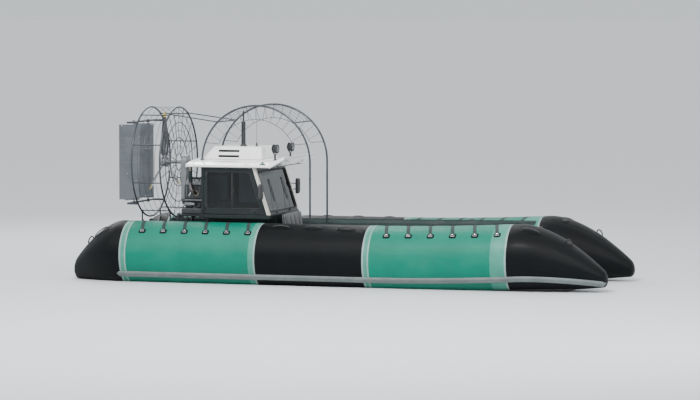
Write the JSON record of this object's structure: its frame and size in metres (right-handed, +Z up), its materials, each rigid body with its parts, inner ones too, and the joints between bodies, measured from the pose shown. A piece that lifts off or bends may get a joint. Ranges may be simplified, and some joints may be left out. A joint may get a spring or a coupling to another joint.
{
  "type": "airboat",
  "caption": "Catamaran airboat on two long inflatable tubes in green and black bands, with a small dark cabin, a white roof, a rear engine, a caged propeller and air rudders.",
  "frame": {"origin": "on the ground under the middle of the boat, where its runners stand", "axes": "+X to the bow, +Y to port, +Z up"},
  "size_m": [8.9, 3.1248, 2.9709],
  "materials": {
    "green_pvc": "satin",
    "black_pvc": "satin",
    "grey_rubber": "matte",
    "runner_plastic": "matte",
    "webbing": "matte",
    "hull_metal": "brushed",
    "deck_metal": "matte",
    "cabin_dark": "satin",
    "roof_white": "gloss",
    "glass_tint": "gloss",
    "frame_black": "satin",
    "cage_metal": "satin",
    "engine_metal": "satin",
    "prop_composite": "satin",
    "exhaust_steel": "satin",
    "seat_vinyl": "matte",
    "mirror_black": "satin"
  },
  "bodies": {
    "hull": {"tube_stbd_stern": "black_pvc", "tube_stbd_aft": "green_pvc", "tube_stbd_mid": "black_pvc", "tube_stbd_fore": "green_pvc", "tube_stbd_bow": "black_pvc", "strake_stbd": "grey_rubber", "runner_stbd": "runner_plastic", "lacing_stbd": "webbing", "mirror_stbd": "mirror_black", "searchlight_stbd": "frame_black", "seat_stbd": "seat_vinyl", "tube_port_stern": "black_pvc", "tube_port_aft": "green_pvc", "tube_port_mid": "black_pvc", "tube_port_fore": "green_pvc", "tube_port_bow": "black_pvc", "strake_port": "grey_rubber", "runner_port": "runner_plastic", "lacing_port": "webbing", "mirror_port": "mirror_black", "searchlight_port": "frame_black", "seat_port": "seat_vinyl", "hull_pan": "hull_metal", "deck_floor": "deck_metal", "cabin_tub": "cabin_dark", "cabin_rear_wall": "cabin_dark", "rear_window": "glass_tint", "cabin_front_frame": "cabin_dark", "windscreen": "glass_tint", "cabin_roof": "roof_white", "roof_pod": "roof_white", "mast": "frame_black", "dashboard": "cabin_dark", "bench_locker": "deck_metal", "bench_back": "seat_vinyl", "engine_stand": "frame_black", "engine": "engine_metal", "drive_case": "engine_metal", "cage_front": "cage_metal", "cage_rear": "cage_metal", "cage_leg_stbd": "cage_metal", "cage_leg_port": "cage_metal", "fuel_tank": "frame_black", "radiator": "engine_metal", "exhaust_stbd": "exhaust_steel", "exhaust_port": "exhaust_steel", "bow_bitt": "frame_black", "cargo_deck": "grey_rubber", "branch_guard": "cage_metal"},
    "propeller": {"propeller": "prop_composite"},
    "rudder_stbd": {"rudder_stbd": "hull_metal"},
    "rudder_port": {"rudder_port": "hull_metal"},
    "tie_bar": {"tie_bar": "cage_metal"},
    "door_stbd": {"door_stbd": "cabin_dark", "door_window_stbd": "glass_tint"},
    "door_port": {"door_port": "cabin_dark", "door_window_port": "glass_tint"},
    "bench_lid": {"bench_lid": "deck_metal", "bench_cushion": "seat_vinyl"},
    "steering_wheel": {"steering_wheel": "frame_black"}
  },
  "joints": [
    {"name": "propeller_spin", "type": "hinge", "parent": "hull", "child": "propeller", "pos_m": [-3.27, 0, 2], "axis": [1, 0, 0], "continuous": true},
    {"name": "rudder_stbd_turn", "type": "hinge", "parent": "hull", "child": "rudder_stbd", "pos_m": [-3.69, -0.33, 2], "axis": [0, 0, 1], "range_deg": [-30, 30]},
    {"name": "rudder_port_turn", "type": "hinge", "parent": "hull", "child": "rudder_port", "pos_m": [-3.69, 0.33, 2], "axis": [0, 0, 1], "range_deg": [-30, 30]},
    {"name": "tie_bar_pivot", "type": "hinge", "parent": "rudder_stbd", "child": "tie_bar", "pos_m": [-3.83, -0.33, 1.38], "axis": [0, 0, 1], "range_deg": [-30, 30]},
    {"name": "steering_wheel_turn", "type": "hinge", "parent": "hull", "child": "steering_wheel", "pos_m": [-1.59, 0.205, 1.03], "axis": [-0.8829, 0, 0.4695], "range_deg": [-90, 90]},
    {"name": "door_stbd_swing", "type": "hinge", "parent": "hull", "child": "door_stbd", "pos_m": [-2.296, -0.794, 1.5], "axis": [0, 0, 1], "range_deg": [-80, 0]},
    {"name": "door_port_swing", "type": "hinge", "parent": "hull", "child": "door_port", "pos_m": [-2.296, 0.794, 1.5], "axis": [0, 0, 1], "range_deg": [0, 80]},
    {"name": "bench_lid_lift", "type": "hinge", "parent": "hull", "child": "bench_lid", "pos_m": [-0.49, 0, 0.6506], "axis": [0, 1, 0], "range_deg": [0, 85]}
  ],
  "couplings": [
    {"joint": "rudder_port_turn", "follows": "rudder_stbd_turn", "ratio": 1},
    {"joint": "tie_bar_pivot", "follows": "rudder_stbd_turn", "ratio": -1},
    {"joint": "steering_wheel_turn", "follows": "rudder_stbd_turn", "ratio": -3}
  ]
}
